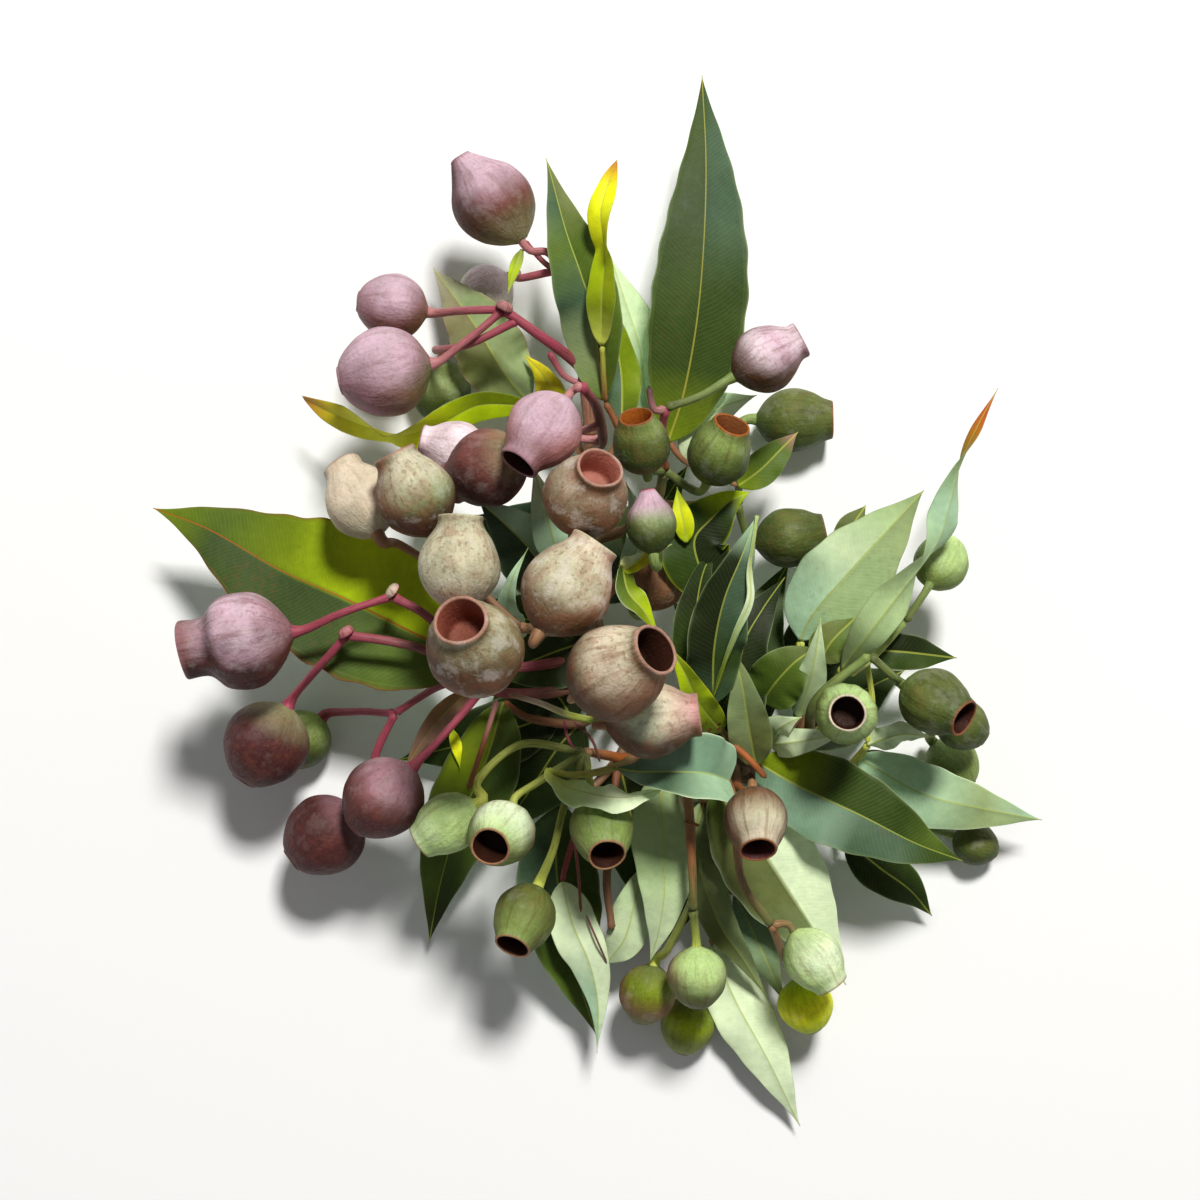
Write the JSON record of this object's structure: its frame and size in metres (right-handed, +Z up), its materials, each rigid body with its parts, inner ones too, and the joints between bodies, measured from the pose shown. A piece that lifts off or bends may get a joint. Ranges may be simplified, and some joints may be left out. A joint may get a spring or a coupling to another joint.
{
  "type": "gumnut branch",
  "caption": "Picked gum branch laid flat, with leafy twigs and bunches of purple, khaki and green urn-shaped gumnuts.",
  "frame": {"origin": "on the surface that the branch lies on, under the middle of its box", "axes": "+Z up, +Y towards the tip of the tall leaf, +X to the right as seen from above"},
  "size_m": [0.3104, 0.3688, 0.1458],
  "materials": {
    "bark": "thin grey-brown bark with leaf scars",
    "leaf": "leathery dark green leaf, yellow midrib, fine side veins, satin gloss",
    "pale_leaf": "pale grey-green underside of the leaf, matt with a waxy bloom",
    "purple_nut": "unripe capsule, purple with a lilac waxy bloom and maroon shade",
    "khaki_nut": "ripe capsule, khaki with pink-brown streaks and a pale rim",
    "green_nut": "green capsule with darker lengthwise streaks and a brown rim"
  },
  "bodies": {
    "root": {"main_stem": "bark", "twig_top": "leaf", "twig_upper_left": "leaf", "twig_left": "leaf", "twig_middle": "leaf", "twig_right_of_middle": "leaf", "twig_right": "leaf", "twig_lower_right": "leaf", "twig_far_right": "leaf", "twig_bottom": "leaf", "twig_lower_left": "leaf", "twig_upper_right": "pale_leaf", "twig_bottom_right": "pale_leaf", "twig_lower_middle": "pale_leaf", "nuts_top_left": "purple_nut", "nuts_upper_left": "purple_nut", "nuts_left": "purple_nut", "nuts_middle_left": "khaki_nut", "nuts_middle": "khaki_nut", "nuts_middle_right": "khaki_nut", "nuts_upper_right": "green_nut", "nuts_right": "green_nut", "nut_far_right": "green_nut", "nuts_lower_middle": "green_nut", "nut_lower_right": "green_nut", "nuts_bottom": "green_nut", "nuts_bottom_right": "green_nut"}
  },
  "joints": []
}
